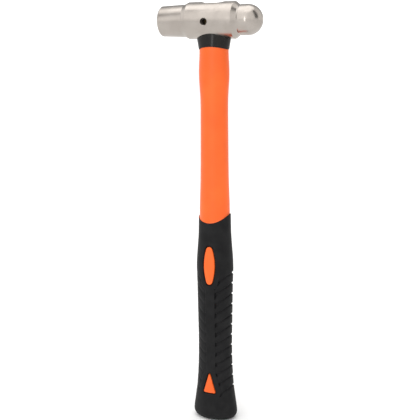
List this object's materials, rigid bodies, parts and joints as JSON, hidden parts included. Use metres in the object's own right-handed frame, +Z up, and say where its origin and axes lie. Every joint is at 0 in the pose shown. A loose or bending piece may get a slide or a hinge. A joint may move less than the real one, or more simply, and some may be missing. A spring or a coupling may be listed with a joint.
{
  "type": "ball peen hammer",
  "caption": "Ball peen hammer: turned stainless head with a flat face and a ball, on an oval fibreglass-cored handle with an orange jacket and a black rubber grip.",
  "frame": {"origin": "middle of the flat on the butt's end, on the handle's axis", "axes": "+Z up the handle towards the head, +X towards the ball, -X towards the striking face"},
  "size_m": [0.0926, 0.0314, 0.3798],
  "materials": {
    "stainless_steel": "satin",
    "spring_steel": "satin",
    "epoxy": "gloss",
    "fiberglass": "matte",
    "collar_rubber": "satin",
    "orange_plastic": "satin",
    "grip_rubber": "satin"
  },
  "bodies": {
    "root": {"hammer_head": "stainless_steel", "retaining_pin": "spring_steel", "epoxy_potting": "epoxy", "fiberglass_core": "fiberglass", "collar": "collar_rubber", "handle_jacket": "orange_plastic", "rubber_grip": "grip_rubber"}
  },
  "joints": []
}
